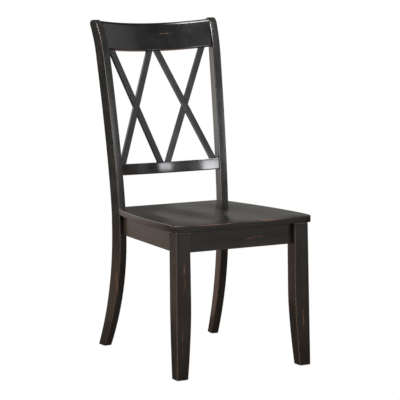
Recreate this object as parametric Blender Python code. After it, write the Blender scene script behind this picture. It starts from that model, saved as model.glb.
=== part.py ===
"""Side chair with a solid wooden seat and a back of two crossed-slat panels.

The frame is +Z up with the front of the chair facing -Y. The origin is the
middle of the footprint on the floor. Sizes are in metres.
"""

import math

import bmesh
import bpy
from mathutils import Matrix, Vector

# Overall sizes
SEAT_HEIGHT = 0.462
TOTAL_HEIGHT = 1.0524

# Seat panel
SEAT_THICKNESS = 0.0228
SEAT_FRONT_WIDTH = 0.4618
SEAT_REAR_WIDTH = 0.3888
SEAT_DEPTH = 0.5264
SEAT_SIDE_BOW = 0.0120
SEAT_FRONT_BOW = 0.0036
SEAT_BACK_BOW = 0.002
SEAT_FRONT_OVERHANG = 0.0101
SEAT_SIDE_OVERHANG = 0.0099
SEAT_FALL = 0.0028
SEAT_NOSE_FALL = 0.0020
SEAT_NOSE_LENGTH = 0.060
SEAT_CORNER_RADIUS = 0.0125
SEAT_TOP_RADIUS = 0.003
SEAT_UNDER_RADIUS = 0.003
SEAT_ROUND_PROFILE = 0.5

# Two shallow dishes in the seat, which run out over its front edge
DISH_DEPTH = 0.0070
DISH_WIDTH = 0.180
DISH_SPACING = 0.180
DISH_SETBACK = 0.250
DISH_BACK_REACH = 0.200
DISH_FRONT_REACH = 0.500

# Front legs: square sections whose two inner faces taper to the floor
LEG_SPREAD_TOP = SEAT_FRONT_WIDTH - 2 * SEAT_SIDE_OVERHANG
LEG_SPLAY = 0.0090
LEG_SPREAD_FLOOR = LEG_SPREAD_TOP + LEG_SPLAY
LEG_TOP_SECTION = 0.0471
LEG_FOOT_SECTION = 0.0373
LEG_TAPER_HEIGHT = 0.221
LEG_TAPER_POWER = 1.54

# Rear posts: one curved plank each, from the floor to the top of the back
POST_INSET = 0.0004
POST_SPREAD = SEAT_REAR_WIDTH - 2 * POST_INSET
POST_THICKNESS = 0.0256
POST_DEPTH = 0.0486
POST_SETBACK = SEAT_DEPTH - SEAT_FRONT_OVERHANG - POST_DEPTH
POST_TOP_DEPTH = 0.0439
POST_TOP_ROUND = 0.0189
POST_FOOT_SWEEP = 0.1132
POST_FOOT_POWER = 1.97
POST_HEEL_SWEEP = 0.1054
POST_HEEL_POWER = 2.20
POST_BACK_RAKE = 0.0879
POST_RAKE_POWER = 1.37
POST_TOP_FLARE = 0.0228
POST_FLARE_LENGTH = 0.122
POST_TOE_IN = math.radians(8.1)
POST_LEAN_OUT = 0.0082

# Curved rails of the back
RAIL_THICKNESS = 0.022
RAIL_BOW_RADIUS = 0.396
CREST_HEIGHT = 0.0916
CREST_BELOW_TOP = 0.0440
CREST_SETBACK = 0.0110
CREST_LEAN = math.radians(13.6)
CREST_TOP_FLAT = 0.001
LOWER_RAIL_HEIGHT = 0.0355
LOWER_RAIL_RISE = 0.1025
LOWER_RAIL_SETBACK = 0.0106
LOWER_RAIL_LEAN = math.radians(8.2)

# Crossed slats
SLAT_WIDTH = 0.0200
SLAT_THICKNESS = 0.0117
SLAT_OUTER_TOP = 0.1590
SLAT_OUTER_BOTTOM = 0.1591
SLAT_INNER = 0.0117
SLAT_HOUSING = 0.005

# Aprons under the seat
APRON_HEIGHT = 0.0638
APRON_THICKNESS = 0.018
FRONT_APRON_SETBACK = 0.020
SIDE_APRON_INSET_FRONT = 0.015
SIDE_APRON_INSET_REAR = 0.013
REAR_APRON_SETBACK = 0.020

# Corner blocks
BLOCK_HEIGHT = 0.044
BLOCK_LEG_SPAN = 0.034
BLOCK_THICKNESS = 0.028
BLOCK_SCREW_INSET = 0.020
BLOCK_SCREW_COUNTERBORE = 0.0125
BLOCK_SCREW_RISE = 0.010

# Screws, bolts, nuts and washers
BLOCK_SCREW_RADIUS = 0.0018
BLOCK_SCREW_HEAD_RADIUS = 0.0038
BLOCK_SCREW_LENGTH = 0.024
SEAT_SCREW_RADIUS = 0.002
SEAT_SCREW_HEAD_RADIUS = 0.0042
SEAT_SCREW_BITE = 0.012
SEAT_SCREW_BOLT_SPACE = 0.009
SCREW_HEAD_TAPER = 0.0035
SCREW_HEAD_CROWN = 0.0016
SCREW_POINT_LENGTH = 0.005
SCREW_POINT_RADIUS = 0.0004
BOLT_RADIUS = 0.003
BOLT_BITE = 0.026
BOLT_END = 0.0015
BOLT_TAIL = 0.003
NUT_WIDTH = 0.011
NUT_HEIGHT = 0.005
WASHER_RADIUS = 0.008
WASHER_THICKNESS = 0.0012

# Dowels and glides
DOWEL_RADIUS = 0.004
SIDE_DOWEL_RADIUS = 0.003
DOWEL_CHAMFER = 0.001
DOWEL_LENGTH = 0.028
DOWEL_EDGE_DISTANCE = 0.015
CREST_DOWEL_EDGE_DISTANCE = 0.030
GLIDE_RADIUS = 0.009
GLIDE_HEIGHT = 0.0015
GLIDE_EDGE = 0.0005
GLIDE_PIN_RADIUS = 0.0015
GLIDE_PIN_LENGTH = 0.014

# Clearances and edge treatment
GAP = 0.0003
SEAT_NOTCH_GAP = 0.0005
EDGE_RADIUS = 0.0032
SLAT_EDGE_RADIUS = 0.0016
HIDDEN_EDGE_RADIUS = 0.0015
SHARP_ANGLE = math.radians(35)
BEVEL_ANGLE = math.radians(40)

# How finely curves are divided
BEVEL_SEGMENTS = 2
PIN_SEGMENTS = 12
DISC_SEGMENTS = 16
FOOT_STEPS = 14
BACK_STEPS = 9
FLARE_STEPS = 7
ROUND_STEPS = 6
TAPER_STEPS = 8
BOW_STEPS = 22
BULLNOSE_STEPS = 5
SIDE_STEPS = 9
FRONT_STEPS = 6
CORNER_STEPS = 4
SEAT_ROUND_SEGMENTS = 3
SEAT_TOP_COLUMNS = 24
SEAT_TOP_ROWS = 16

# How far a cutter runs past the piece that it cuts
CUTTER_REACH = 0.030

LEFT = -1
RIGHT = 1
SIDES = ((LEFT, "left"), (RIGHT, "right"))

# Levels that several pieces share
SEAT_BOTTOM = SEAT_HEIGHT - SEAT_THICKNESS
APRON_TOP = SEAT_BOTTOM - GAP
APRON_BOTTOM = APRON_TOP - APRON_HEIGHT
POST_FLARE_START = TOTAL_HEIGHT - POST_FLARE_LENGTH
CREST_LEVEL = TOTAL_HEIGHT - CREST_BELOW_TOP
LOWER_RAIL_LEVEL = SEAT_HEIGHT + LOWER_RAIL_RISE + LOWER_RAIL_HEIGHT / 2
CREST_PLACE = (CREST_LEVEL, CREST_HEIGHT, CREST_SETBACK, CREST_LEAN)
LOWER_RAIL_PLACE = (LOWER_RAIL_LEVEL, LOWER_RAIL_HEIGHT, LOWER_RAIL_SETBACK, LOWER_RAIL_LEAN)
DOWEL_LEVELS = (
    ("lower", APRON_BOTTOM + DOWEL_EDGE_DISTANCE),
    ("upper", APRON_TOP - DOWEL_EDGE_DISTANCE),
)

# Directions along and through the left post's plank
POST_ALONG = Vector((math.cos(POST_TOE_IN), math.sin(POST_TOE_IN), 0.0))
POST_BEHIND = Vector((-math.sin(POST_TOE_IN), math.cos(POST_TOE_IN), 0.0))
UP = Vector((0.0, 0.0, 1.0))


# Scene helpers

def clear_scene():
    for obj in list(bpy.data.objects):
        bpy.data.objects.remove(obj, do_unlink=True)


def make_material(name, color, roughness, metallic=0.0):
    material = bpy.data.materials.new(name)
    material.use_nodes = True
    shader = material.node_tree.nodes["Principled BSDF"]
    shader.inputs["Base Color"].default_value = (*color, 1.0)
    shader.inputs["Roughness"].default_value = roughness
    shader.inputs["Metallic"].default_value = metallic
    return material


def add_object(name, bm, material):
    """Turn a bmesh drawn in chair coordinates into an object with a centred origin."""
    corners = [vert.co for vert in bm.verts]
    low = Vector([min(co[axis] for co in corners) for axis in range(3)])
    high = Vector([max(co[axis] for co in corners) for axis in range(3)])
    centre = (low + high) / 2
    bmesh.ops.translate(bm, verts=bm.verts, vec=-centre)
    mesh = bpy.data.meshes.new(name)
    bm.to_mesh(mesh)
    bm.free()
    mesh.shade_smooth()
    mesh.set_sharp_from_angle(angle=SHARP_ANGLE)
    obj = bpy.data.objects.new(name, mesh)
    obj.location = centre
    obj.parent = footprint
    bpy.context.scene.collection.objects.link(obj)
    if material:
        mesh.materials.append(material)
    return obj


def add_cutter(name, bm):
    obj = add_object(name, bm, None)
    obj.hide_render = True
    obj.display_type = "WIRE"
    return obj


def ease_edges(obj, radius, segments=BEVEL_SEGMENTS):
    bevel = obj.modifiers.new("Eased edges", "BEVEL")
    bevel.width = radius
    bevel.segments = segments
    bevel.limit_method = "ANGLE"
    bevel.angle_limit = BEVEL_ANGLE
    bevel.use_clamp_overlap = False


def cut(obj, *cutters):
    for cutter in cutters:
        boolean = obj.modifiers.new(cutter.name, "BOOLEAN")
        boolean.operation = "DIFFERENCE"
        boolean.solver = "EXACT"
        boolean.object = cutter


# Mesh helpers

def face_outward(bm, faces):
    """Turn the faces of one closed body outwards."""
    bmesh.ops.recalc_face_normals(bm, faces=faces)
    inside = faces[0].verts[0].co
    volume = sum((face.calc_center_median() - inside).dot(face.normal) * face.calc_area() for face in faces)
    if volume < 0:
        bmesh.ops.reverse_faces(bm, faces=faces)


def skin(bm, rings):
    """Join equal rings of points into one closed body with flat ends."""
    loops = [[bm.verts.new(point) for point in ring] for ring in rings]
    count = len(loops[0])
    faces = [bm.faces.new(loops[0]), bm.faces.new(loops[-1])]
    for lower, upper in zip(loops, loops[1:]):
        for i in range(count):
            j = (i + 1) % count
            faces.append(bm.faces.new((lower[i], lower[j], upper[j], upper[i])))
    face_outward(bm, faces)


def mirrored(points, side):
    """Points are drawn for the left side, where x is negative."""
    return [Vector((-point.x * side, point.y, point.z)) for point in points]


def prism(bm, outline, low, high, side=LEFT):
    """Stand an upright block on a plan outline drawn for the left side."""
    rings = [[Vector((x, y, z)) for x, y in outline] for z in (low, high)]
    skin(bm, [mirrored(ring, side) for ring in rings])


def turned(bm, start, direction, profile, segments=PIN_SEGMENTS):
    """Turn a profile of (distance, radius) pairs about a line."""
    frame = direction.normalized().to_track_quat("Z", "Y").to_matrix()
    rings = []
    for distance, radius in profile:
        ring = []
        for i in range(segments):
            angle = 2 * math.pi * i / segments
            offset = Vector((radius * math.cos(angle), radius * math.sin(angle), distance))
            ring.append(start + frame @ offset)
        rings.append(ring)
    skin(bm, rings)


def add_pin(name, start, direction, profile, material, segments=PIN_SEGMENTS):
    bm = bmesh.new()
    turned(bm, start, direction, profile, segments)
    return add_object(name, bm, material)


def trim(bm, planes):
    """Cut a body off square at each plane and close it, keeping the normal's side."""
    for point, normal in planes:
        geometry = list(bm.verts) + list(bm.edges) + list(bm.faces)
        result = bmesh.ops.bisect_plane(
            bm, geom=geometry, dist=1e-7, plane_co=point, plane_no=-normal, clear_outer=True)
        rim = [item for item in result["geom_cut"] if isinstance(item, bmesh.types.BMEdge)]
        bmesh.ops.contextual_create(bm, geom=rim)
    face_outward(bm, list(bm.faces))


def blend(start, end, share):
    return start + (end - start) * share


def stepped(start, end, steps):
    """Evenly spaced values from start to end, both included."""
    return [blend(start, end, i / steps) for i in range(steps + 1)]


# Rear post shape

def post_front_run(z):
    """Distance of a post's front edge behind its place at the seat."""
    if z < APRON_BOTTOM:
        share = (APRON_BOTTOM - z) / APRON_BOTTOM
        return POST_FOOT_SWEEP * share ** POST_FOOT_POWER
    if z > SEAT_BOTTOM:
        share = (z - SEAT_BOTTOM) / (TOTAL_HEIGHT - SEAT_BOTTOM)
        flare = max(0.0, z - POST_FLARE_START) / POST_FLARE_LENGTH
        return POST_BACK_RAKE * share ** POST_RAKE_POWER + POST_TOP_FLARE * flare ** 2
    return 0.0


def post_back_run(z):
    """Distance of a post's rear edge behind the front edge's place at the seat."""
    if z <= SEAT_BOTTOM:
        share = (SEAT_BOTTOM - z) / SEAT_BOTTOM
        return POST_DEPTH + POST_HEEL_SWEEP * share ** POST_HEEL_POWER
    share = max(0.0, z - POST_FLARE_START) / POST_FLARE_LENGTH
    return post_front_run(z) + blend(POST_DEPTH, POST_TOP_DEPTH, share)


def plank_point(inward, back, z):
    """A point of the left post, from its outer front corner at the seat."""
    inward -= POST_LEAN_OUT * (z - SEAT_HEIGHT)
    corner = Vector((-POST_SPREAD / 2, POST_SETBACK, z))
    return corner + POST_ALONG * inward + POST_BEHIND * back


def post_inner_plane(side, clearance=GAP):
    """The plane just inside a post's inner face, and its normal into the chair."""
    point = plank_point(POST_THICKNESS + clearance, 0.0, SEAT_HEIGHT)
    normal = (POST_ALONG + UP * POST_LEAN_OUT).normalized()
    return mirrored([point], side)[0], mirrored([normal], side)[0]


def post_profile():
    """A post seen from its side, as (level, run) pairs up its front and down its back."""
    shoulder = TOTAL_HEIGHT - POST_TOP_ROUND
    levels = stepped(GLIDE_HEIGHT, APRON_BOTTOM, FOOT_STEPS)
    levels += stepped(SEAT_BOTTOM, POST_FLARE_START, BACK_STEPS)
    levels += stepped(POST_FLARE_START, shoulder, FLARE_STEPS)[1:]
    sections = [(z, post_front_run(z), post_back_run(z)) for z in levels]
    last_level, last_front, last_back = sections[-2]
    shoulder, front, back = sections[-1]
    lean = (front - last_front) / (shoulder - last_level)
    for i in range(ROUND_STEPS):
        angle = math.pi / 2 * (i + 0.5) / ROUND_STEPS
        rise = POST_TOP_ROUND * math.sin(angle)
        middle = (front + back) / 2 + lean * rise
        reach = (back - front) / 2 * math.cos(angle)
        sections.append((shoulder + rise, middle - reach, middle + reach))
    rise = [(z, front) for z, front, back in sections]
    return rise + [(z, back) for z, front, back in reversed(sections)]


def build_post(side, word):
    profile = post_profile()
    rings = []
    for inward in (0.0, POST_THICKNESS):
        rings.append(mirrored([plank_point(inward, run, z) for z, run in profile], side))
    bm = bmesh.new()
    skin(bm, rings)
    post = add_object("rear_post_" + word, bm, painted_wood)
    ease_edges(post, EDGE_RADIUS)
    return post


# Front leg shape

def leg_taper(z):
    return max(0.0, 1 - z / LEG_TAPER_HEIGHT) ** LEG_TAPER_POWER


def leg_inner_x():
    return -(LEG_SPREAD_TOP / 2 - LEG_TOP_SECTION)


def build_front_leg(side, word):
    rings = []
    foot_inner = -(LEG_SPREAD_FLOOR / 2 - LEG_FOOT_SECTION)
    for z in stepped(GLIDE_HEIGHT, LEG_TAPER_HEIGHT, TAPER_STEPS) + [APRON_TOP]:
        outer = -blend(LEG_SPREAD_FLOOR, LEG_SPREAD_TOP, z / SEAT_BOTTOM) / 2
        inner = blend(leg_inner_x(), foot_inner, leg_taper(z))
        back = blend(LEG_TOP_SECTION, LEG_FOOT_SECTION, leg_taper(z))
        corners = ((outer, 0.0), (inner, 0.0), (inner, back), (outer, back))
        rings.append(mirrored([Vector((x, y, z)) for x, y in corners], side))
    bm = bmesh.new()
    skin(bm, rings)
    leg = add_object("front_leg_" + word, bm, painted_wood)
    ease_edges(leg, EDGE_RADIUS)
    return leg


# Curved rails of the back

def rail_frame(place):
    """Local frame at a rail's lower front: X across, Y back and Z up along its lean."""
    level, height, setback, lean = place
    front = Vector((0.0, POST_SETBACK + post_front_run(level), level))
    corner = Vector((0.0, setback, -height / 2))
    return Matrix.Translation(front) @ Matrix.Rotation(-lean, 4, "X") @ Matrix.Translation(corner)


def rail_half_angle(place):
    """Half the angle that a rail's bow turns through between the posts."""
    level, height, setback, lean = place
    half_width = -plank_point(POST_THICKNESS, post_front_run(level) + setback, level).x
    return math.asin(half_width / RAIL_BOW_RADIUS)


def rail_point(place, angle, depth, height):
    """A point of a bowed rail from its angle along the bow, depth and height."""
    reach = RAIL_BOW_RADIUS + depth
    y = reach * math.cos(angle) - RAIL_BOW_RADIUS * math.cos(rail_half_angle(place))
    return rail_frame(place) @ Vector((reach * math.sin(angle), y, height))


def rail_section(height, bullnose):
    """Outline of a rail as (depth, height) pairs, rounded over the top if asked."""
    eased = EDGE_RADIUS
    top_radius = (RAIL_THICKNESS - CREST_TOP_FLAT) / 2 if bullnose else eased
    top_steps = BULLNOSE_STEPS if bullnose else BEVEL_SEGMENTS
    corners = (
        (eased, eased, eased, BEVEL_SEGMENTS),
        (RAIL_THICKNESS - eased, eased, eased, BEVEL_SEGMENTS),
        (RAIL_THICKNESS - top_radius, height - top_radius, top_radius, top_steps),
        (top_radius, height - top_radius, top_radius, top_steps),
    )
    outline = []
    for quarter, (depth, rise, radius, steps) in enumerate(corners, 2):
        for angle in stepped(quarter * math.pi / 2, (quarter + 1) * math.pi / 2, steps):
            outline.append((depth + radius * math.cos(angle), rise + radius * math.sin(angle)))
    return outline


def build_rail(name, place, bullnose):
    end = rail_half_angle(place) + RAIL_THICKNESS / RAIL_BOW_RADIUS
    section = rail_section(place[1], bullnose)
    rings = [[rail_point(place, angle, *pair) for pair in section] for angle in stepped(-end, end, BOW_STEPS)]
    bm = bmesh.new()
    skin(bm, rings)
    trim(bm, [post_inner_plane(side) for side, word in SIDES])
    return add_object(name, bm, painted_wood)


# Crossed slats

def slat_end(x, place, height):
    """Where a slat's front plane meets a rail's edge, on the left side."""
    depth = (RAIL_THICKNESS - SLAT_THICKNESS) / 2
    angle = math.asin(-x / (RAIL_BOW_RADIUS + depth))
    return rail_point(place, angle, depth, height)


def slat_frame(side, rising):
    """Frame of one slat: X across its width, Y through it to the back, Z along it."""
    top_outer = slat_end(SLAT_OUTER_TOP, CREST_PLACE, 0.0)
    top_inner = slat_end(SLAT_INNER, CREST_PLACE, 0.0)
    low_outer = slat_end(SLAT_OUTER_BOTTOM, LOWER_RAIL_PLACE, LOWER_RAIL_HEIGHT)
    low_inner = slat_end(SLAT_INNER, LOWER_RAIL_PLACE, LOWER_RAIL_HEIGHT)
    through = (top_inner - top_outer).cross(low_inner - top_outer).normalized()
    low_outer -= through * through.dot(low_outer - top_outer)
    ends = (low_outer, top_inner) if rising else (low_inner, top_outer)
    ends = mirrored(ends, side)
    through = mirrored([through], side)[0]
    upward = (ends[1] - ends[0]).normalized()
    across = through.cross(upward)
    rotation = Matrix((across, through, upward)).transposed().to_4x4()
    length = (ends[1] - ends[0]).length
    return Matrix.Translation((ends[0] + ends[1]) / 2) @ rotation, length


def slat_box(bm, frame, length, front, back, margin=0.0):
    half = SLAT_WIDTH / 2 + margin
    reach = length / 2 + SLAT_HOUSING + margin
    corners = ((-half, front), (half, front), (half, back), (-half, back))
    rings = [[frame @ Vector((x, y, z)) for x, y in corners] for z in (-reach, reach)]
    skin(bm, rings)


def build_slats(crest, lower_rail):
    """Two slats a side, housed in the rails and halved where they cross."""
    middle = SLAT_THICKNESS / 2
    for side, word in SIDES:
        frames = {rising: slat_frame(side, rising) for rising in (True, False)}
        for rising, slope in ((True, "rising"), (False, "falling")):
            frame, length = frames[rising]
            bm = bmesh.new()
            slat_box(bm, frame, length, 0.0, SLAT_THICKNESS)
            trim(bm, [post_inner_plane(side)])
            slat = add_object(word + "_slat_" + slope, bm, painted_wood)
            ease_edges(slat, SLAT_EDGE_RADIUS)

            housing = bmesh.new()
            slat_box(housing, frame, length, -GAP, SLAT_THICKNESS + GAP, GAP)
            housing_cutter = add_cutter("cut_housing_" + word + "_" + slope, housing)
            cut(crest, housing_cutter)
            cut(lower_rail, housing_cutter)

            lap = bmesh.new()
            partner, partner_length = frames[not rising]
            front = middle - GAP / 2 if rising else -CUTTER_REACH
            back = CUTTER_REACH if rising else middle + GAP / 2
            slat_box(lap, partner, partner_length, front, back, GAP)
            cut(slat, add_cutter("cut_lap_" + word + "_" + slope, lap))


# Seat panel

def seat_side_x(y):
    share = y / POST_SETBACK
    bow = 4 * SEAT_SIDE_BOW * share * (1 - share)
    return -(blend(SEAT_FRONT_WIDTH, SEAT_REAR_WIDTH, share) / 2 + bow)


def seat_front_y(x):
    return -SEAT_FRONT_OVERHANG + SEAT_FRONT_BOW * (2 * x / SEAT_FRONT_WIDTH) ** 2


def seat_back_y(x):
    return POST_SETBACK + POST_DEPTH - SEAT_BACK_BOW * (2 * x / SEAT_REAR_WIDTH) ** 2


def seat_half_outline():
    """Plan points of the left half, from the middle of the front to the middle of the back."""
    radius = SEAT_CORNER_RADIUS
    corner_x = seat_side_x(0.0) + radius
    corner_y = seat_front_y(corner_x) + radius
    points = [(x, seat_front_y(x)) for x in stepped(0.0, corner_x, FRONT_STEPS)[:-1]]
    for angle in stepped(-math.pi / 2, -math.pi, CORNER_STEPS):
        points.append((corner_x + radius * math.cos(angle), corner_y + radius * math.sin(angle)))

    inner = POST_THICKNESS + SEAT_NOTCH_GAP
    notch_corner = plank_point(inner, -SEAT_NOTCH_GAP, SEAT_HEIGHT)
    ear_x = seat_side_x(POST_SETBACK)
    ear_y = notch_corner.y + (ear_x - notch_corner.x) * POST_ALONG.y / POST_ALONG.x
    points += [(seat_side_x(y), y) for y in stepped(corner_y, ear_y, SIDE_STEPS)[1:-1]]
    points.append((ear_x, ear_y))
    points.append((notch_corner.x, notch_corner.y))

    back_corner = plank_point(inner, POST_DEPTH, SEAT_HEIGHT)
    back_y = seat_back_y(back_corner.x)
    back_x = back_corner.x + (back_y - back_corner.y) * POST_BEHIND.x / POST_BEHIND.y
    points += [(x, seat_back_y(x)) for x in stepped(back_x, 0.0, FRONT_STEPS)]
    return points


def beside_post(point):
    """True along the notches round the posts, where the seat's edge stays square."""
    corner = plank_point(0.0, 0.0, point.z)
    offset = Vector((-abs(point.x), point.y, point.z)) - corner
    inward = POST_THICKNESS + 2 * SEAT_NOTCH_GAP
    return offset.dot(POST_ALONG) < inward and offset.dot(POST_BEHIND) > -2 * SEAT_NOTCH_GAP


def seat_drop(x, y):
    """How far the seat's top lies below its full height, by its fall, its nose and its dishes."""
    across = min(1.0, abs(abs(x) - DISH_SPACING / 2) / (DISH_WIDTH / 2))
    reach = DISH_BACK_REACH if y > DISH_SETBACK else DISH_FRONT_REACH
    along = min(1.0, abs(y - DISH_SETBACK) / reach)
    hollow = (1 + math.cos(math.pi * across)) * (1 + math.cos(math.pi * along)) / 4
    nose = max(0.0, 1 - (y + SEAT_FRONT_OVERHANG) / SEAT_NOSE_LENGTH)
    fall = SEAT_FALL * max(0.0, y) / SEAT_DEPTH + SEAT_NOSE_FALL * nose ** 2
    return fall + DISH_DEPTH * hollow


def slice_plan(bm, axis, low, high, count):
    """Divide a body by upright planes across one axis, without cutting anything off."""
    normal = Vector((0.0, 0.0, 0.0))
    normal[axis] = 1.0
    for place in stepped(low, high, count)[1:-1]:
        geometry = list(bm.verts) + list(bm.edges) + list(bm.faces)
        bmesh.ops.bisect_plane(bm, geom=geometry, dist=1e-7, plane_co=normal * place, plane_no=normal)


def build_seat():
    half = seat_half_outline()
    outline = half + [(-x, y) for x, y in reversed(half[1:-1])]
    bm = bmesh.new()
    prism(bm, outline, SEAT_BOTTOM, SEAT_HEIGHT)
    for level, radius in ((SEAT_HEIGHT, SEAT_TOP_RADIUS), (SEAT_BOTTOM, SEAT_UNDER_RADIUS)):
        rim = []
        for edge in bm.edges:
            start, end = [vert.co for vert in edge.verts]
            on_level = max(abs(start.z - level), abs(end.z - level)) < GAP
            if on_level and not beside_post((start + end) / 2):
                rim.append(edge)
        bmesh.ops.bevel(
            bm, geom=rim, offset=radius, segments=SEAT_ROUND_SEGMENTS, profile=SEAT_ROUND_PROFILE,
            affect="EDGES", clamp_overlap=False)
    slice_plan(bm, 0, -SEAT_FRONT_WIDTH / 2, SEAT_FRONT_WIDTH / 2, SEAT_TOP_COLUMNS)
    slice_plan(bm, 1, -SEAT_FRONT_OVERHANG, SEAT_DEPTH - SEAT_FRONT_OVERHANG, SEAT_TOP_ROWS)
    for vert in bm.verts:
        share = max(0.0, vert.co.z - SEAT_BOTTOM - SEAT_UNDER_RADIUS) / (SEAT_THICKNESS - SEAT_UNDER_RADIUS)
        vert.co.z -= seat_drop(vert.co.x, vert.co.y) * share
    return add_object("seat_panel", bm, painted_seat)


# Aprons

def side_apron_x(y, depth=0.0):
    """The left side apron's outer face, or a plane at some depth behind it."""
    front = -(LEG_SPREAD_TOP / 2 - SIDE_APRON_INSET_FRONT)
    rear = -(POST_SPREAD / 2 - SIDE_APRON_INSET_REAR)
    share = (y - LEG_TOP_SECTION) / (POST_SETBACK - LEG_TOP_SECTION)
    return blend(front, rear, share) + depth


def post_front_y(x):
    """Just before the left post's front face under the seat."""
    corner = plank_point(0.0, -GAP, APRON_TOP)
    return corner.y + (x - corner.x) * POST_ALONG.y / POST_ALONG.x


def build_cross_apron(name, end, front, planes=()):
    """An apron that runs across the chair, cut off at the planes if there are any."""
    back = front + APRON_THICKNESS
    bm = bmesh.new()
    prism(bm, ((end, front), (-end, front), (-end, back), (end, back)), APRON_BOTTOM, APRON_TOP)
    trim(bm, planes)
    apron = add_object(name, bm, painted_wood)
    ease_edges(apron, HIDDEN_EDGE_RADIUS, 1)
    return apron


def build_side_apron(side, word):
    front = LEG_TOP_SECTION + GAP
    outline = []
    for depth in (0.0, APRON_THICKNESS):
        x = side_apron_x(POST_SETBACK, depth)
        outline.append((x, post_front_y(x)))
    outline.append((side_apron_x(front, APRON_THICKNESS), front))
    outline.append((side_apron_x(front), front))
    bm = bmesh.new()
    prism(bm, outline, APRON_BOTTOM, APRON_TOP, side)
    apron = add_object("side_apron_" + word, bm, painted_wood)
    ease_edges(apron, HIDDEN_EDGE_RADIUS, 1)
    return apron


# Corner blocks and their screws

def block_outline(y_face, inward):
    """Plan of a block between the left side apron and a cross apron's inner face."""
    near = BLOCK_LEG_SPAN
    far = near + BLOCK_THICKNESS * math.sqrt(2)
    y_wall = y_face + inward * GAP

    def wall_point(distance):
        y = y_face + inward * distance
        return side_apron_x(y, APRON_THICKNESS + GAP), y

    corner_x = side_apron_x(y_face, APRON_THICKNESS + GAP)
    return [wall_point(near), wall_point(far), (corner_x + far, y_wall), (corner_x + near, y_wall)]


def block_screw_lines(y_face, inward):
    """Start and direction of a block's two screws, each square to its apron."""
    along = BLOCK_LEG_SPAN + BLOCK_SCREW_INSET
    level = APRON_TOP - BLOCK_HEIGHT + BLOCK_SCREW_RISE
    y = y_face + inward * along
    side_start = Vector((side_apron_x(y, APRON_THICKNESS + BLOCK_SCREW_COUNTERBORE), y, level))
    x = side_apron_x(y_face, APRON_THICKNESS) + along
    cross_start = Vector((x, y_face + inward * BLOCK_SCREW_COUNTERBORE, level))
    return ((side_start, Vector((-1.0, 0.0, 0.0))), (cross_start, Vector((0.0, -inward, 0.0))))


def seat_screw_place(end, y_face, inward):
    """Where a block's upright screw starts, clear of the leg's bolt."""
    reach = BLOCK_LEG_SPAN / 2 + BLOCK_THICKNESS * math.sqrt(2) / 4
    x = side_apron_x(y_face, APRON_THICKNESS) + reach
    y = y_face + inward * reach
    if end == "front":
        x += SEAT_SCREW_BOLT_SPACE
        y -= SEAT_SCREW_BOLT_SPACE
    return Vector((x, y, APRON_TOP - BLOCK_HEIGHT))


def screw_profile(radius, head, length):
    return (
        (-SCREW_HEAD_CROWN, head - SCREW_HEAD_CROWN), (0.0, head), (SCREW_HEAD_TAPER, radius),
        (length - SCREW_POINT_LENGTH, radius), (length, SCREW_POINT_RADIUS))


def hole_profile(radius, head, length):
    return (
        (-CUTTER_REACH, head + GAP), (GAP, head + GAP), (SCREW_HEAD_TAPER + GAP, radius + GAP),
        (length + 2 * GAP, radius + GAP))


def build_blocks(aprons):
    """Corner blocks, screwed to the aprons in front and to the seat at each corner."""
    side_holes = bmesh.new()
    seat_holes = bmesh.new()
    side_screw = (BLOCK_SCREW_RADIUS, BLOCK_SCREW_HEAD_RADIUS, BLOCK_SCREW_LENGTH)
    seat_screw_length = BLOCK_HEIGHT + GAP + SEAT_SCREW_BITE
    seat_screw = (SEAT_SCREW_RADIUS, SEAT_SCREW_HEAD_RADIUS, seat_screw_length)
    corners = (
        ("front", FRONT_APRON_SETBACK + APRON_THICKNESS, 1),
        ("rear", rear_apron_y, -1),
    )
    blocks = {}
    for end, y_face, inward in corners:
        for side, word in SIDES:
            bm = bmesh.new()
            prism(bm, block_outline(y_face, inward), APRON_TOP - BLOCK_HEIGHT, APRON_TOP, side)
            blocks[end, word] = add_object("corner_block_" + end + "_" + word, bm, bare_wood)
            lines = block_screw_lines(y_face, inward) if end == "front" else ()
            for target, line in zip(("side", "front"), lines):
                start, direction = mirrored(line, side)
                name = "block_screw_" + word + "_" + target
                add_pin(name, start, direction, screw_profile(*side_screw), zinc_steel)
                turned(side_holes, start, direction, hole_profile(*side_screw))
            start = mirrored([seat_screw_place(end, y_face, inward)], side)[0]
            name = "seat_screw_" + end + "_" + word
            add_pin(name, start, UP, screw_profile(*seat_screw), zinc_steel)
            turned(seat_holes, start, UP, hole_profile(*seat_screw))
    side_cutter = add_cutter("cut_block_screws", side_holes)
    seat_cutter = add_cutter("cut_seat_screws", seat_holes)
    for block in blocks.values():
        cut(block, side_cutter, seat_cutter)
    for apron in aprons:
        cut(apron, side_cutter)
    cut(seat, seat_cutter)
    return blocks


# Hanger bolts that draw the front legs into their corners

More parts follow.
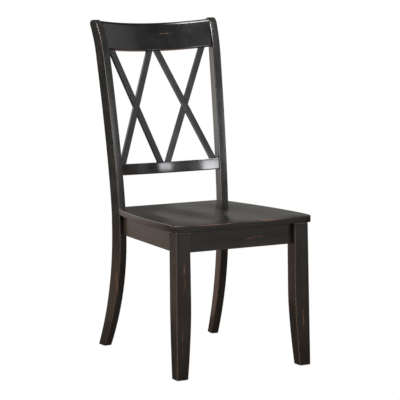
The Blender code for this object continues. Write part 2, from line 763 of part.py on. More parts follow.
def build_hanger_bolts(legs, blocks):
    y_face = FRONT_APRON_SETBACK + APRON_THICKNESS
    level = APRON_TOP - APRON_HEIGHT / 2
    leg_corner = Vector((leg_inner_x(), LEG_TOP_SECTION, level))
    wall_end, cross_end = [Vector((x, y, level)) for x, y in block_outline(y_face, 1)[1:3]]
    face_line = (cross_end - wall_end).normalized()
    diagonal = Vector((-face_line.y, face_line.x, 0.0))
    washer_start = diagonal.dot(wall_end - leg_corner) + GAP
    nut_start = washer_start + WASHER_THICKNESS + GAP
    length = BOLT_BITE + nut_start + NUT_HEIGHT + BOLT_TAIL
    shoulder = BOLT_RADIUS - BOLT_END
    bolt = (
        (0.0, shoulder), (BOLT_END, BOLT_RADIUS), (length - BOLT_END, BOLT_RADIUS),
        (length, shoulder))
    washer = ((0.0, WASHER_RADIUS), (WASHER_THICKNESS, WASHER_RADIUS))
    nut = ((0.0, NUT_WIDTH / 2), (NUT_HEIGHT, NUT_WIDTH / 2))
    hole = ((-GAP, BOLT_RADIUS + GAP), (length + CUTTER_REACH, BOLT_RADIUS + GAP))
    holes = bmesh.new()
    drilled = []
    for side, word in SIDES:
        corner, direction = mirrored([leg_corner, diagonal], side)
        start = corner - direction * BOLT_BITE
        add_pin("hanger_bolt_" + word, start, direction, bolt, zinc_steel)
        turned(holes, start, direction, hole)
        place = corner + direction * washer_start
        drilled.append(add_pin("bolt_washer_" + word, place, direction, washer, zinc_steel, DISC_SEGMENTS))
        place = corner + direction * nut_start
        drilled.append(add_pin("bolt_nut_" + word, place, direction, nut, zinc_steel, 6))
        drilled += [legs[word], blocks["front", word]]
    cutter = add_cutter("cut_hanger_bolts", holes)
    for obj in drilled:
        cut(obj, cutter)


# Dowels

def add_dowels(joints, radius, joined):
    """Dowels centred on joint points; each joint is (name, point, direction)."""
    end = radius - DOWEL_CHAMFER
    profile = (
        (0.0, end), (DOWEL_CHAMFER, radius), (DOWEL_LENGTH - DOWEL_CHAMFER, radius),
        (DOWEL_LENGTH, end))
    hole = ((-GAP, radius + GAP), (DOWEL_LENGTH + GAP, radius + GAP))
    holes = bmesh.new()
    for name, point, direction in joints:
        start = point - direction * (DOWEL_LENGTH / 2)
        add_pin(name, start, direction, profile, beech)
        turned(holes, start, direction, hole)
    cutter = add_cutter("cut_" + joints[0][0], holes)
    for obj in joined:
        cut(obj, cutter)


def rail_joints(name, place, rises):
    """Dowel places at both ends of a bowed rail, square to the posts' inner faces."""
    joints = []
    for side, word in SIDES:
        plane_point, normal = post_inner_plane(side, GAP / 2)
        for ending, rise in rises:
            middle = rail_point(place, -rail_half_angle(place), RAIL_THICKNESS / 2, rise)
            middle = mirrored([middle], side)[0]
            middle -= normal * normal.dot(middle - plane_point)
            joints.append((name + word + ending, middle, normal))
    return joints


def build_back_dowels(crest, lower_rail, post_pair):
    rises = (("_lower", CREST_DOWEL_EDGE_DISTANCE), ("_upper", CREST_HEIGHT - CREST_DOWEL_EDGE_DISTANCE))
    add_dowels(rail_joints("crest_dowel_", CREST_PLACE, rises), DOWEL_RADIUS, [crest] + post_pair)
    rises = (("", LOWER_RAIL_HEIGHT / 2),)
    joints = rail_joints("lower_rail_dowel_", LOWER_RAIL_PLACE, rises)
    add_dowels(joints, DOWEL_RADIUS, [lower_rail] + post_pair)


def build_apron_dowels(front_apron, side_aprons, rear_apron, leg_pair, post_pair):
    front_joints = []
    side_joints = []
    rear_joints = []
    y_front = FRONT_APRON_SETBACK + APRON_THICKNESS / 2
    y_rear = rear_apron_y + APRON_THICKNESS / 2
    across = Vector((1.0, 0.0, 0.0))
    behind = Vector((0.0, 1.0, 0.0))
    side_mid_x = side_apron_x(LEG_TOP_SECTION, APRON_THICKNESS / 2)
    for side, word in SIDES:
        plane_point, normal = post_inner_plane(side, GAP / 2)
        for place, level in DOWEL_LEVELS:
            ending = word + "_" + place
            point = mirrored([Vector((leg_inner_x() + GAP / 2, y_front, level))], side)[0]
            front_joints.append(("front_apron_dowel_" + ending, point, across))
            point = mirrored([Vector((side_mid_x, LEG_TOP_SECTION + GAP / 2, level))], side)[0]
            side_joints.append(("side_apron_front_dowel_" + ending, point, behind))
            inward = POST_THICKNESS - 2 * SIDE_DOWEL_RADIUS + POST_LEAN_OUT * (level - SEAT_HEIGHT)
            point, line = mirrored([plank_point(inward, -GAP / 2, level), POST_BEHIND], side)
            side_joints.append(("side_apron_rear_dowel_" + ending, point, line))
            point = Vector((plane_point.x, y_rear, level))
            point.x -= normal.dot(point - plane_point) / normal.x
            rear_joints.append(("rear_apron_dowel_" + ending, point, normal))
    add_dowels(front_joints, DOWEL_RADIUS, [front_apron] + leg_pair)
    add_dowels(side_joints, SIDE_DOWEL_RADIUS, side_aprons + leg_pair + post_pair)
    add_dowels(rear_joints, DOWEL_RADIUS, [rear_apron] + post_pair)


# Glides under the feet

def foot_centre(end, side):
    """Plan middle of a foot's sole."""
    if end == "front":
        x = -(LEG_SPREAD_FLOOR / 2 - LEG_FOOT_SECTION / 2)
        return mirrored([Vector((x, LEG_FOOT_SECTION / 2, 0.0))], side)[0]
    middle = (post_front_run(GLIDE_HEIGHT) + post_back_run(GLIDE_HEIGHT)) / 2
    return mirrored([plank_point(POST_THICKNESS / 2, middle, 0.0)], side)[0]


def build_glides(feet):
    disc = GLIDE_HEIGHT - GAP
    profile = (
        (0.0, GLIDE_RADIUS - GLIDE_EDGE), (GLIDE_EDGE, GLIDE_RADIUS), (disc, GLIDE_RADIUS),
        (disc, GLIDE_PIN_RADIUS), (GLIDE_PIN_LENGTH, GLIDE_PIN_RADIUS))
    hole = ((disc, GLIDE_PIN_RADIUS + GAP), (GLIDE_PIN_LENGTH + GAP, GLIDE_PIN_RADIUS + GAP))
    holes = bmesh.new()
    for side, word in SIDES:
        for end in ("front", "rear"):
            centre = foot_centre(end, side)
            add_pin("glide_" + end + "_" + word, centre, UP, profile, grey_nylon, DISC_SEGMENTS)
            turned(holes, centre, UP, hole)
    cutter = add_cutter("cut_foot_glides", holes)
    for foot in feet:
        cut(foot, cutter)


def centre_footprint():
    """Move the whole chair so that the origin is under the middle of its outline."""
    bpy.context.view_layer.update()
    graph = bpy.context.evaluated_depsgraph_get()
    ys = []
    for obj in footprint.children:
        if obj.hide_render:
            continue
        evaluated = obj.evaluated_get(graph)
        ys += [(evaluated.matrix_world @ Vector(corner)).y for corner in evaluated.bound_box]
    footprint.location.y = -(min(ys) + max(ys)) / 2


clear_scene()
footprint = bpy.data.objects.new("footprint", None)
bpy.context.scene.collection.objects.link(footprint)

painted_wood = make_material("painted_wood", (0.036, 0.034, 0.032), 0.42)
painted_seat = make_material("painted_seat", (0.044, 0.041, 0.039), 0.38)
bare_wood = make_material("bare_wood", (0.46, 0.31, 0.18), 0.62)
beech = make_material("beech", (0.58, 0.42, 0.27), 0.60)
zinc_steel = make_material("zinc_steel", (0.62, 0.61, 0.58), 0.35, 1.0)
grey_nylon = make_material("grey_nylon", (0.30, 0.30, 0.30), 0.50)

posts = {word: build_post(side, word) for side, word in SIDES}
legs = {word: build_front_leg(side, word) for side, word in SIDES}
post_pair = list(posts.values())
leg_pair = list(legs.values())
seat = build_seat()
crest = build_rail("crest_rail", CREST_PLACE, True)
lower_rail = build_rail("lower_back_rail", LOWER_RAIL_PLACE, False)
build_slats(crest, lower_rail)

rear_apron_y = POST_SETBACK + REAR_APRON_SETBACK
front_apron = build_cross_apron("front_apron", leg_inner_x() + GAP, FRONT_APRON_SETBACK)
inner_planes = [post_inner_plane(side) for side, word in SIDES]
rear_apron = build_cross_apron("rear_apron", -POST_SPREAD / 2, rear_apron_y, inner_planes)
side_aprons = [build_side_apron(side, word) for side, word in SIDES]
blocks = build_blocks([front_apron, rear_apron] + side_aprons)
build_hanger_bolts(legs, blocks)
build_back_dowels(crest, lower_rail, post_pair)
build_apron_dowels(front_apron, side_aprons, rear_apron, leg_pair, post_pair)
build_glides(leg_pair + post_pair)
centre_footprint()
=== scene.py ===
import math

import bpy
from mathutils import Matrix, Vector


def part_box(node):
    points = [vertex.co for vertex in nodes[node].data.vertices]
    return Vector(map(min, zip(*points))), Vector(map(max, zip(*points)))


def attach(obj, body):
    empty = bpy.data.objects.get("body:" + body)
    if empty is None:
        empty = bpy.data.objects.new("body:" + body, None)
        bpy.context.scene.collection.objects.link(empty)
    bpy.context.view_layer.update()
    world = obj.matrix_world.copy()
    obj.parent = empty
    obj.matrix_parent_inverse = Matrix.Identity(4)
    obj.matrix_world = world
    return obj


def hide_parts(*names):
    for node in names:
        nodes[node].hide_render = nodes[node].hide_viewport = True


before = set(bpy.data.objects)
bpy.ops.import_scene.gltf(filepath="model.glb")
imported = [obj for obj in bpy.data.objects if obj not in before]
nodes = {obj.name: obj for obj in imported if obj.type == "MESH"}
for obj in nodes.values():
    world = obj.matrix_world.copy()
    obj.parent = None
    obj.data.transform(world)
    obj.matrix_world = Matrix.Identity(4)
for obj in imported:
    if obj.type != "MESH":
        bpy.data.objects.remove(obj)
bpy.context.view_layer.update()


# Shader sums

class Value:
    """A shader socket. Sums written with it add their Math nodes."""

    def __init__(self, finish, socket):
        self.finish = finish
        self.socket = socket

    def work(self, operation, first, second):
        return self.finish.node("ShaderNodeMath", {"operation": operation}, {0: first, 1: second})

    def __add__(self, other):
        return self.work("ADD", self, other)

    def __radd__(self, other):
        return self.work("ADD", other, self)

    def __sub__(self, other):
        return self.work("SUBTRACT", self, other)

    def __rsub__(self, other):
        return self.work("SUBTRACT", other, self)

    def __mul__(self, other):
        return self.work("MULTIPLY", self, other)

    def __rmul__(self, other):
        return self.work("MULTIPLY", other, self)


SHADE_SAMPLES = 8
# Where a patch starts to fade and where it ends, as shares of its size
PATCH_FADE = (0.35, 1.0)

# A Mix node's sockets for its share, its two colours and its result
MIX_SHARE = 0
MIX_FIRST = 6
MIX_SECOND = 7
MIX_RESULT = 2


class Finish:
    """One material finish, built from nodes that are added by their type."""

    def __init__(self, name, roughness, specular=0.5, metallic=0.0):
        self.material = bpy.data.materials.new(name)
        self.material.use_nodes = True
        self.tree = self.material.node_tree
        self.shader = self.tree.nodes["Principled BSDF"]
        self.shader.inputs["Roughness"].default_value = roughness
        self.shader.inputs["Specular IOR Level"].default_value = specular
        self.shader.inputs["Metallic"].default_value = metallic
        self.place = self.node("ShaderNodeTexCoord", output="Object")

    def node(self, kind, settings=None, inputs=None, output=0):
        """Add a node of a type, with its settings first and then its sockets' values or links."""
        made = self.tree.nodes.new(kind)
        for key, setting in (settings or {}).items():
            setattr(made, key, setting)
        for key, value in (inputs or {}).items():
            self.feed(made.inputs[key], value)
        return Value(self, made.outputs[output])

    def feed(self, socket, value):
        if isinstance(value, Value):
            self.tree.links.new(value.socket, socket)
        else:
            socket.default_value = value

    def vectors(self, operation, first, second):
        return self.node("ShaderNodeVectorMath", {"operation": operation}, {0: first, 1: second})

    def blend(self, share, first, second):
        """Mix two colours by a share."""
        settings = {"data_type": "RGBA", "clamp_factor": True}
        inputs = {MIX_SHARE: share, MIX_FIRST: first, MIX_SECOND: second}
        return self.node("ShaderNodeMix", settings, inputs, MIX_RESULT)

    def stretched(self, scale, turn=(0.0, 0.0, 0.0)):
        """The piece's own coordinates, turned and then scaled along each axis."""
        turned = self.node(
            "ShaderNodeMapping", {"vector_type": "POINT"}, {"Vector": self.place, "Rotation": turn})
        return self.vectors("MULTIPLY", turned, scale)

    def noise(self, place, scale, detail=2.0, roughness=0.5, distortion=0.0):
        return self.node("ShaderNodeTexNoise", {"noise_dimensions": "3D"}, {
            "Vector": place, "Scale": scale, "Detail": detail, "Roughness": roughness,
            "Distortion": distortion})

    def between(self, value, low, high):
        """How far a value has gone from low to high, eased at both ends."""
        return self.node("ShaderNodeMapRange", {"interpolation_type": "SMOOTHSTEP"}, {
            "Value": value, "From Min": low, "From Max": high})

    def patch(self, centre, size):
        """A soft-edged patch round a point, 1 in its middle and 0 outside its size."""
        offset = self.vectors("SUBTRACT", self.place, centre)
        scaled = self.vectors("MULTIPLY", offset, tuple(1 / length for length in size))
        distance = self.node("ShaderNodeVectorMath", {"operation": "LENGTH"}, {0: scaled}, "Value")
        return 1 - self.between(distance, *PATCH_FADE)

    def edges(self, reach):
        """Near 1 on a piece's outer edges, where the wood behind the surface is thin."""
        settings = {"inside": True, "only_local": True, "samples": SHADE_SAMPLES}
        return 1 - self.node("ShaderNodeAmbientOcclusion", settings, {"Distance": reach}, "AO")

    def crevice_shade(self, reach):
        """Near 1 in corners and joints, where other pieces stand close before the surface. It darkens
        the paint there as painted shade.
        """
        settings = {"samples": SHADE_SAMPLES}
        return 1 - self.node("ShaderNodeAmbientOcclusion", settings, {"Distance": reach}, "AO")

    def bumps(self, height, distance, strength):
        return self.node("ShaderNodeBump", None, {
            "Height": height, "Distance": distance, "Strength": strength})

    def finish(self, colour, roughness, normal):
        self.feed(self.shader.inputs["Base Color"], colour)
        self.feed(self.shader.inputs["Roughness"], roughness)
        self.feed(self.shader.inputs["Normal"], normal)
        return self.material


def stretch_along(along, fine, coarse):
    """A scale that draws a pattern out along one axis."""
    return tuple(coarse if axis == along else fine for axis in "XYZ")


# Satin paint

INK = (0.0092, 0.0092, 0.0086, 1.0)
CHARCOAL = (0.0165, 0.0155, 0.0140, 1.0)
BROWN_BLACK = (0.0340, 0.0210, 0.0135, 1.0)
# The colour of the painted shade in joints and corners
PAINTED_SHADE_DARK = (0.0012, 0.0010, 0.0008, 1.0)
EDGE_TAN = (0.150, 0.098, 0.070, 1.0)
RUBBED_BROWN = (0.125, 0.048, 0.027, 1.0)

# How often the patterns repeat in a metre, across and along the wood's grain
GRAIN_ACROSS = 240.0
GRAIN_ALONG = 5.0
FLECK_ACROSS = 330.0
FLECK_ALONG = 28.0
# Clouds repeat alike every way, and broad grain at this share of the fine grain's rate
CLOUDS = 16.0
BROAD_GRAIN = 0.22

# Metres: how far the painted shade in joints and the worn edges reach, how deep the relief is, and
# the heights between which the wear of a finish with low_wear fades out
CREVICE_SHADE_REACH = 0.012
EDGE_REACH = 0.005
PAINT_RELIEF = 0.00012
WORN_BELOW = 0.34
FRESH_ABOVE = 0.56

# The value at which each pattern starts to show, and the one at which it shows in full
CLOUD_TONES = (0.34, 0.70)
UNDERCOAT_TONES = (0.34, 0.70)
CREVICE_SHADE_TONES = (0.36, 0.60)
EDGE_TONES = (0.14, 0.36)
EDGE_FLECKS = (0.32, 0.74)
STREAK_FLECKS = (0.40, 0.62)
SHEEN_CLOUDS = (0.25, 0.75)

# How much of the wear is gone above the seat, how much the clouds shift the worn edges' flecks,
# and how far a streak covers the paint
UPPER_FRESHNESS = 0.9
FLECK_CLOUDS = 0.5
STREAK_STRENGTH = 0.9

# What comes off the paint's roughness, and what the patterns add to it
CLEAN_GLOSS = 0.03
CLOUD_DULLNESS = 0.05
GRAIN_DULLNESS = 0.03
WORN_DULLNESS = 0.18
EDGE_DULLNESS = 0.14

# How much each grain raises the relief, how much wear sinks it, and how strongly it shows
FINE_RELIEF = 0.6
BROAD_RELIEF = 0.4
WORN_SINK = 0.5
PAINT_BUMP = 0.5


def dimmed(colour, painted_light_level):
    return (*[channel * painted_light_level for channel in colour[:3]], 1.0)


def painted_finish(
        name, along, roughness, brown, wear, rubs=(), turn=(0.0, 0.0, 0.0), low_wear=False,
        grain=1.0, painted_light_level=1.0):
    """Near-black satin paint over grained wood, worn tan along its edges, rubbed brown in streaks and
    darkened in its joints as painted shade.

    brown and wear say how much of the brown undercoat and of the worn edges shows. With low_wear
    they fade out above the seat. Each rub is the middle and the half size of a place that has been
    rubbed. grain is the depth of the relief. painted_light_level scales the whole piece's paint for
    how
    light falls on it: below 1 it is painted shade and makes the paint blacker, above 1 it is painted
    light.
    """
    paint = Finish(name, roughness)
    grained = paint.stretched(stretch_along(along, GRAIN_ACROSS, GRAIN_ALONG), turn)
    flecked = paint.stretched(stretch_along(along, FLECK_ACROSS, FLECK_ALONG), turn)
    fine_grain = paint.noise(grained, 1.0, detail=4.0, roughness=0.6)
    broad_grain = paint.noise(grained, BROAD_GRAIN, detail=3.0, roughness=0.55, distortion=0.6)
    clouds = paint.noise(paint.place, CLOUDS, detail=3.0, roughness=0.55)
    flecks = paint.noise(flecked, 1.0, detail=3.0, roughness=0.6)

    low = 1.0
    if low_wear:
        height = paint.node("ShaderNodeSeparateXYZ", None, {0: paint.place}, "Z")
        low = 1 - paint.between(height, WORN_BELOW, FRESH_ABOVE) * UPPER_FRESHNESS

    # The whole piece's paint is scaled by painted_light_level: darker as painted shade, lighter as
    # painted light
    dark, light = dimmed(INK, painted_light_level), dimmed(CHARCOAL, painted_light_level)
    colour = paint.blend(paint.between(clouds, *CLOUD_TONES), dark, light)
    undercoat = paint.between(broad_grain, *UNDERCOAT_TONES) * brown * low
    colour = paint.blend(undercoat, colour, BROWN_BLACK)
    # Painted shade: the paint is darkened in joints and corners, where other pieces stand close
    painted_crevice_shade = paint.between(paint.crevice_shade(CREVICE_SHADE_REACH), *CREVICE_SHADE_TONES)
    colour = paint.blend(painted_crevice_shade, colour, PAINTED_SHADE_DARK)

    edge = paint.between(paint.edges(EDGE_REACH), *EDGE_TONES)
    worn = edge * paint.between(flecks + clouds * FLECK_CLOUDS, *EDGE_FLECKS) * wear * low
    colour = paint.blend(worn, colour, EDGE_TAN)
    for centre, size in rubs:
        streak = paint.patch(centre, size) * paint.between(flecks, *STREAK_FLECKS)
        colour = paint.blend(streak * STREAK_STRENGTH, colour, RUBBED_BROWN)
        worn = worn + streak

    sheen = roughness - CLEAN_GLOSS + paint.between(clouds, *SHEEN_CLOUDS) * CLOUD_DULLNESS
    sheen = sheen + fine_grain * GRAIN_DULLNESS + worn * WORN_DULLNESS + edge * (EDGE_DULLNESS * wear)
    relief = fine_grain * FINE_RELIEF + broad_grain * BROAD_RELIEF - worn * WORN_SINK
    return paint.finish(colour, sheen, paint.bumps(relief, PAINT_RELIEF, PAINT_BUMP * grain))


# Bare wood, zinc and nylon

ZINC_PALE = (0.60, 0.60, 0.58, 1.0)
ZINC_GREY = (0.46, 0.46, 0.44, 1.0)
ZINC_DULL = (0.66, 0.61, 0.48, 1.0)
NYLON_GREY = (0.30, 0.30, 0.29, 1.0)
NYLON_SCUFFED = (0.16, 0.155, 0.15, 1.0)
NYLON_BRIGHT = (0.36, 0.36, 0.35, 1.0)

# How often the patterns repeat in a metre
WOOD_GRAIN_ACROSS = 90.0
WOOD_GRAIN_ALONG = 6.0
WOOD_CLOUDS = 22.0
ZINC_CRYSTALS = 900.0
ZINC_SMEARS = 220.0
NYLON_STIPPLE = 3000.0
NYLON_SCUFFS = (900.0, 150.0, 900.0)

# How fine the rings and the pores are beside that grain
RING_FINENESS = 0.8
PORE_FINENESS = 5

# The depth of each relief in metres
WOOD_RELIEF = 0.0003
ZINC_RELIEF = 0.0001
NYLON_RELIEF = 0.00008


def raw_wood_finish(name, along, pale, dark, line):
    """Unfinished wood with grain lines, pores and a dry, uneven surface."""
    wood = Finish(name, roughness=0.65, specular=0.25)
    scale = stretch_along(along, WOOD_GRAIN_ACROSS, WOOD_GRAIN_ALONG)
    fine_scale = tuple(size * PORE_FINENESS for size in scale)
    rings = wood.noise(
        wood.stretched(scale), RING_FINENESS, detail=4.0, roughness=0.6, distortion=0.8)
    pores = wood.noise(wood.stretched(fine_scale), 1.0, detail=2.0, roughness=0.6)
    clouds = wood.noise(wood.place, WOOD_CLOUDS)
    colour = wood.blend(wood.between(rings, low=0.35, high=0.68), pale, dark)
    colour = wood.blend(wood.between(pores, low=0.60, high=0.72) * 0.5, colour, line)
    colour = wood.blend(clouds * 0.35, colour, dark)
    dryness = 0.58 + pores * 0.18
    relief = rings * 0.5 + pores * 0.5
    return wood.finish(colour, dryness, wood.bumps(relief, WOOD_RELIEF, strength=0.6))


def steel_finish():
    """Zinc plate: pale grey metal with a faint crystal mottling and dull smears."""
    zinc = Finish("zinc_plate", roughness=0.34, metallic=1.0)
    crystals = zinc.node(
        "ShaderNodeTexVoronoi", {"feature": "F1"}, {"Vector": zinc.place, "Scale": ZINC_CRYSTALS})
    smears = zinc.noise(zinc.place, ZINC_SMEARS, detail=4.0, roughness=0.6)
    colour = zinc.blend(zinc.between(crystals, low=0.1, high=0.9), ZINC_PALE, ZINC_GREY)
    colour = zinc.blend(zinc.between(smears, low=0.45, high=0.75) * 0.6, colour, ZINC_DULL)
    dullness = 0.26 + smears * 0.24
    return zinc.finish(colour, dullness, zinc.bumps(smears, ZINC_RELIEF, strength=0.35))


def nylon_finish():
    """Moulded grey nylon with a fine matte texture and scuffs."""
    nylon = Finish("moulded_nylon", roughness=0.52)
    stipple = nylon.noise(nylon.place, NYLON_STIPPLE, detail=2.0, roughness=0.6)
    scuffs = nylon.noise(nylon.stretched(NYLON_SCUFFS), 1.0, detail=3.0, roughness=0.65)
    colour = nylon.blend(nylon.between(scuffs, low=0.50, high=0.80), NYLON_GREY, NYLON_SCUFFED)
    colour = nylon.blend(stipple * 0.25, colour, NYLON_BRIGHT)
    dullness = 0.42 + scuffs * 0.22
    relief = stipple * 0.5 + scuffs * 0.5
    return nylon.finish(colour, dullness, nylon.bumps(relief, NYLON_RELIEF, strength=0.5))


# Pieces

# Bends up to the smooth angle are shaded round, and faces within the flat angle become one
SMOOTH_ANGLE = math.radians(38)
FLAT_ANGLE = math.radians(0.05)
# Points as near as this, in metres, become one
MERGE_DISTANCE = 0.00002
# Above 50, large faces lead the shading of the ones beside them
LARGE_FACE_WEIGHT = 80


def only(piece):
    bpy.ops.object.select_all(action="DESELECT")
    piece.select_set(True)
    bpy.context.view_layer.objects.active = piece


def finished_copy(node, name, material):
    """Join up a node's loose triangles in a copy, round its shading and finish it."""
    source = nodes[node]
    piece = bpy.data.objects.new(name, source.data.copy())
    bpy.context.scene.collection.objects.link(piece)
    only(piece)
    bpy.ops.mesh.customdata_custom_splitnormals_clear()
    bpy.ops.object.mode_set(mode="EDIT")
    bpy.ops.mesh.select_all(action="SELECT")
    bpy.ops.mesh.remove_doubles(threshold=MERGE_DISTANCE)
    bpy.ops.mesh.dissolve_limited(angle_limit=FLAT_ANGLE)
    bpy.ops.mesh.tris_convert_to_quads()
    bpy.ops.mesh.select_all(action="DESELECT")
    bpy.ops.object.mode_set(mode="OBJECT")
    bpy.ops.object.shade_smooth_by_angle(angle=SMOOTH_ANGLE)
    weighted = piece.modifiers.new("Even shading", "WEIGHTED_NORMAL")
    weighted.keep_sharp = True
    weighted.weight = LARGE_FACE_WEIGHT
    bpy.ops.object.modifier_apply(modifier=weighted.name)
    piece.data.materials.clear()
    piece.data.materials.append(material)
    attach(piece, "root")
    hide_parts(node)


def repaint(node, material):
    """Give a node that keeps its own mesh a finish."""
    for slot in nodes[node].material_slots:
        slot.material = material


# Rubbed places, each its middle and its half size in metres
LEG_RUBS = {
    "left": [
        ((-0.196, -0.3163, 0.312), (0.0045, 0.010, 0.052)),
        ((-0.206, -0.3163, 0.120), (0.0025, 0.010, 0.060)),
    ],
    "right": [
        ((0.2017, -0.3163, 0.146), (0.0035, 0.010, 0.045)),
        ((0.180, -0.300, 0.330), (0.003, 0.010, 0.060)),
    ],
}
POST_RUBS = {
    "left": [
        ((-0.2100, 0.2345, 0.984), (0.004, 0.008, 0.022)),
        ((-0.1955, 0.180, 0.197), (0.005, 0.007, 0.120)),
    ],
    "right": [
        ((0.1730, 0.204, 0.190), (0.008, 0.006, 0.110)),
        ((0.1770, 0.236, 0.110), (0.008, 0.006, 0.070)),
    ],
}
CREST_RUBS = [((0.046, 0.2955, 1.0022), (0.036, 0.012, 0.0030))]
APRON_RUBS = [
    ((0.028, -0.2963, 0.4030), (0.026, 0.010, 0.0034)),
    ((0.062, -0.2963, 0.4058), (0.024, 0.010, 0.0026)),
]
SEAT_RUBS = [
    ((-0.208, -0.318, 0.4585), (0.026, 0.010, 0.0030)),
    ((-0.110, -0.3255, 0.4570), (0.080, 0.005, 0.0026)),
    ((0.065, -0.3255, 0.4570), (0.095, 0.005, 0.0026)),
    ((0.030, -0.3255, 0.4395), (0.170, 0.004, 0.0012)),
    ((-0.140, 0.192, 0.4575), (0.030, 0.006, 0.003)),
]
# How far the grain of a slat leans from upright
SLAT_TURN = math.radians(16.0)

# The legs' paint is darkened as painted shade, and the side rails' paint is lightened as painted
# light
for side in ("left", "right"):
    post_paint = painted_finish(
        "paint_post_" + side, "Z", roughness=0.23, brown=0.30, wear=0.80, rubs=POST_RUBS[side],
        low_wear=True, grain=0.6)
    leg_paint = painted_finish(
        "paint_leg_" + side, "Z", roughness=0.23, brown=0.22, wear=0.95, rubs=LEG_RUBS[side],
        painted_light_level=0.5)
    side_paint = painted_finish(
        "paint_side_rail_" + side, "Y", roughness=0.32, brown=0.60, wear=0.40, painted_light_level=2.0)
    finished_copy("rear_post_" + side, "post_" + side, post_paint)
    finished_copy("front_leg_" + side, "leg_" + side, leg_paint)
    finished_copy("side_apron_" + side, "side_rail_" + side, side_paint)

for slope, lean in (("rising", SLAT_TURN), ("falling", -SLAT_TURN)):
    slat_paint = painted_finish(
        "paint_slat_" + slope, "Z", roughness=0.26, brown=0.0, wear=0.0, turn=(0.0, lean, 0.0))
    for side in ("left", "right"):
        finished_copy(
            side + "_slat_" + slope, "slat_" + side + "_" + slope, slat_paint)

# The paint of the seat, the top rail and the front rail is darkened as painted shade
seat_paint = painted_finish(
    "paint_seat", "X", roughness=0.22, brown=0.06, wear=0.70, rubs=SEAT_RUBS, grain=0.5, painted_light_level=0.30)
crest_paint = painted_finish(
    "paint_top_rail", "X", roughness=0.21, brown=0.0, wear=0.0, rubs=CREST_RUBS, grain=0.35,
    painted_light_level=0.40)
low_paint = painted_finish("paint_low_rail", "X", roughness=0.135, brown=0.0, wear=0.0, grain=0.5)
front_paint = painted_finish(
    "paint_front_rail", "X", roughness=0.23, brown=0.15, wear=0.30, rubs=APRON_RUBS, painted_light_level=0.7)
rear_paint = painted_finish("paint_rear_rail", "X", roughness=0.30, brown=0.30, wear=0.60)
finished_copy("seat_panel", "seat_board", seat_paint)
finished_copy("crest_rail", "top_rail", crest_paint)
finished_copy("lower_back_rail", "low_rail", low_paint)
finished_copy("front_apron", "front_rail", front_paint)
finished_copy("rear_apron", "rear_rail", rear_paint)

block_wood = raw_wood_finish(
    "sawn_block_wood", "X",
    pale=(0.50, 0.34, 0.20, 1.0), dark=(0.36, 0.22, 0.12, 1.0), line=(0.20, 0.11, 0.06, 1.0))
dowel_wood = raw_wood_finish(
    "turned_beech", "X",
    pale=(0.62, 0.45, 0.29, 1.0), dark=(0.50, 0.34, 0.20, 1.0), line=(0.34, 0.20, 0.12, 1.0))
zinc = steel_finish()
nylon = nylon_finish()
for node in nodes:
    if node.startswith("corner_block"):
        repaint(node, block_wood)
    elif "dowel" in node:
        repaint(node, dowel_wood)
    elif node.startswith("glide"):
        repaint(node, nylon)
    elif "screw" in node or "bolt" in node:
        repaint(node, zinc)


# Floor

# Metres
FLOOR_SIZE = 60.0
FLOOR_HEIGHT = -0.0002
GLOW_HEIGHT = -0.0001


def stage_plane(name, size, height, material):
    bpy.ops.mesh.primitive_plane_add(size=size, location=(0.0, 0.0, height))
    plane = bpy.context.object
    plane.name = name
    plane.data.materials.append(material)
    return plane


def glow_finish(name, strength, colour=(1.0, 1.0, 1.0)):
    """A black surface that only gives light."""
    glow = bpy.data.materials.new(name)
    glow.use_nodes = True
    shader = glow.node_tree.nodes["Principled BSDF"]
    shader.inputs["Base Color"].default_value = (0.0, 0.0, 0.0, 1.0)
    shader.inputs["Specular IOR Level"].default_value = 0.0
    shader.inputs["Emission Color"].default_value = (*colour, 1.0)
    shader.inputs["Emission Strength"].default_value = strength
    return glow


def floor_glow(name, middle, across, along, strength, colour):
    """Light that the studio floor throws back at the chair. Its middle and sizes are in metres."""
    plane = stage_plane(name, 1.0, GLOW_HEIGHT, glow_finish(name, strength, colour))
    only(plane)
    bpy.ops.transform.resize(value=(across, along, 1.0))
    bpy.ops.transform.translate(value=(middle[0], middle[1], 0.0))
    bpy.ops.object.transform_apply(location=True, rotation=True, scale=True)
    plane.visible_camera = False
    plane.visible_shadow = False


# The camera sees this floor, which neither lights the chair nor shows in its gloss
seen_floor = stage_plane("studio_floor", FLOOR_SIZE, FLOOR_HEIGHT, glow_finish("floor_white", 1.0))
seen_floor.visible_diffuse = False
seen_floor.visible_glossy = False
seen_floor.visible_shadow = False
seen_floor.visible_transmission = False

floor_glow("floor_glow_under", (0.0, 0.0), 1.2, 1.2, 0.11, (1.30, 1.0, 0.82))
floor_glow("floor_glow_front", (0.0, -1.55), 3.0, 1.9, 0.28, (1.20, 1.0, 0.82))
floor_glow("floor_glow_front_right", (1.8, -4.85), 2.4, 2.4, 2.2, (1.05, 1.0, 0.95))
floor_glow("floor_glow_rear", (0.0, 1.9), 3.0, 2.6, 0.30, (1.45, 1.0, 0.80))
floor_glow("floor_glow_far_rear", (-0.6, 5.2), 4.4, 4.0, 0.40, (1.10, 1.0, 1.0))


# Studio light

# Metres
STUDIO_RADIUS = 4.0
STUDIO_MIDDLE = Vector((0.0, 0.0, 0.5))

COOL = (0.97, 0.98, 1.04)
WARM = (1.06, 1.0, 0.94)
SUNNY = (1.16, 1.0, 0.83)
DIM_AIR = (0.070, 0.070, 0.061, 1.0)
WHITE_AIR = (1.0, 1.0, 1.0, 1.0)


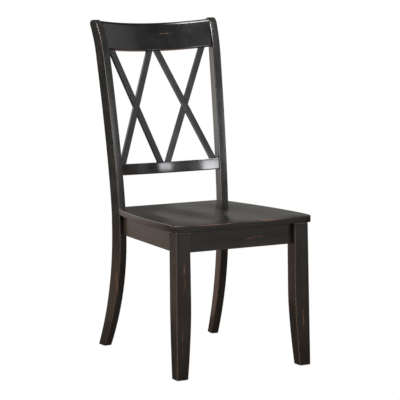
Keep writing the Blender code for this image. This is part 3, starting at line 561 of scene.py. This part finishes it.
def softbox(name, bearing, rise, across, tall, brightness, colour):
    """A soft light that faces the chair.

    bearing is 0 in front of the chair and 90 at its right. It, rise, across and tall are in degrees,
    as seen from the chair.
    """
    turn, climb = math.radians(bearing), math.radians(rise)
    level = math.cos(climb)
    out = Vector((math.sin(turn) * level, -math.cos(turn) * level, math.sin(climb)))
    light = bpy.data.lights.new(name, "AREA")
    light.shape = "RECTANGLE"
    light.size = 2 * STUDIO_RADIUS * math.tan(math.radians(across / 2)) * level
    light.size_y = 2 * STUDIO_RADIUS * math.tan(math.radians(tall / 2))
    light.energy = brightness * math.pi * light.size * light.size_y
    light.color = colour
    lamp = bpy.data.objects.new(name, light)
    lamp.location = STUDIO_MIDDLE + out * STUDIO_RADIUS
    lamp.rotation_mode = "QUATERNION"
    lamp.rotation_quaternion = out.to_track_quat("Z", "Y")
    bpy.context.scene.collection.objects.link(lamp)
    lamp.visible_camera = False


def studio_air():
    """Faint light from all round, which the camera sees as white."""
    world = bpy.data.worlds.new("studio_air")
    bpy.context.scene.world = world
    world.use_nodes = True
    air = world.node_tree
    background = air.nodes["Background"]
    rays = air.nodes.new("ShaderNodeLightPath")
    tone = air.nodes.new("ShaderNodeMix")
    tone.data_type = "RGBA"
    tone.inputs[MIX_FIRST].default_value = DIM_AIR
    tone.inputs[MIX_SECOND].default_value = WHITE_AIR
    air.links.new(rays.outputs["Is Camera Ray"], tone.inputs[MIX_SHARE])
    air.links.new(tone.outputs[MIX_RESULT], background.inputs["Color"])
    background.inputs["Strength"].default_value = 1.0


softbox("front_window", -15.0, 9.0, 12.0, 12.0, 19.3, COOL)
softbox("front_window_edge", -27.0, 9.0, 12.0, 12.0, 8.0, COOL)
softbox("front_window_side", -3.0, 9.0, 12.0, 12.0, 1.2, COOL)
softbox("front_middle_card", 12.0, 12.0, 18.0, 6.0, 0.7, COOL)
softbox("front_right_strip", 27.0, 12.0, 12.0, 6.0, 14.5, COOL)
softbox("front_right_card", 51.0, 9.0, 12.0, 12.0, 0.6, COOL)
softbox("front_high_card", 12.0, 24.0, 72.0, 18.0, 0.19, COOL)
softbox("right_high_card", 72.0, 24.0, 48.0, 18.0, 0.78, COOL)
softbox("overhead_softbox", 0.0, 75.0, 60.0, 35.0, 11.0, WARM)
softbox("front_high_softbox", -20.0, 54.0, 40.0, 10.0, 52.0, COOL)
softbox("left_softbox", -96.0, 5.0, 36.0, 14.0, 9.8, SUNNY)
softbox("rear_left_card", -164.0, 5.0, 22.0, 14.0, 1.20, WARM)
softbox("rear_left_low_card", -160.0, -3.0, 16.0, 6.0, 1.70, WARM)
softbox("rear_left_high_card", -156.0, 24.0, 24.0, 18.0, 2.60, WARM)
softbox("rear_side_card", 142.5, 7.0, 13.0, 16.0, 0.19, WARM)
softbox("rear_right_card", 152.5, 7.0, 7.0, 16.0, 0.19, WARM)
softbox("rear_middle_card", 160.0, 7.0, 8.0, 16.0, 0.04, WARM)
softbox("rear_right_high_card", 150.0, 20.0, 24.0, 9.0, 0.24, WARM)
studio_air()
bpy.context.scene.view_settings.view_transform = "Standard"


# Camera

# The photograph's view of the chair: its angles in degrees, the camera's distance in metres, and
# the lens and the sensor's width in millimetres
VIEW_AZIMUTH = 26.347
VIEW_ELEVATION = 6.757
VIEW_ROLL = -0.952
VIEW_DISTANCE = 5.1043
VIEW_LENS = 150.27
VIEW_SENSOR = 36.0
# The point that the camera looks at, with y measured from the front of the legs
VIEW_MIDDLE = Vector((-0.03225, 0.220, 0.50156))
FAR_ENOUGH = 100.0


def camera_axes():
    """Right, up and forward of the photograph's camera."""
    turn, fall, roll = [math.radians(angle) for angle in (VIEW_AZIMUTH, VIEW_ELEVATION, VIEW_ROLL)]
    ahead = math.cos(fall)
    forward = Vector((math.sin(turn) * ahead, math.cos(turn) * ahead, -math.sin(fall)))
    level = Vector((math.cos(turn), -math.sin(turn), 0.0))
    above = level.cross(forward)
    right = level * math.cos(roll) + above * math.sin(roll)
    up = above * math.cos(roll) - level * math.sin(roll)
    return right, up, forward


right, up, forward = camera_axes()
front_of_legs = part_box("front_leg_left")[0].y
lens = bpy.data.cameras.new("photo_camera")
lens.sensor_width = VIEW_SENSOR
lens.lens = VIEW_LENS
lens.clip_end = FAR_ENOUGH
camera = bpy.data.objects.new("photo_camera", lens)
bpy.context.scene.collection.objects.link(camera)
stand = VIEW_MIDDLE + Vector((0.0, front_of_legs, 0.0)) - forward * VIEW_DISTANCE
turned = Matrix((right, up, -forward)).transposed().to_4x4()
camera.matrix_world = Matrix.Translation(stand) @ turned
bpy.context.scene.camera = camera
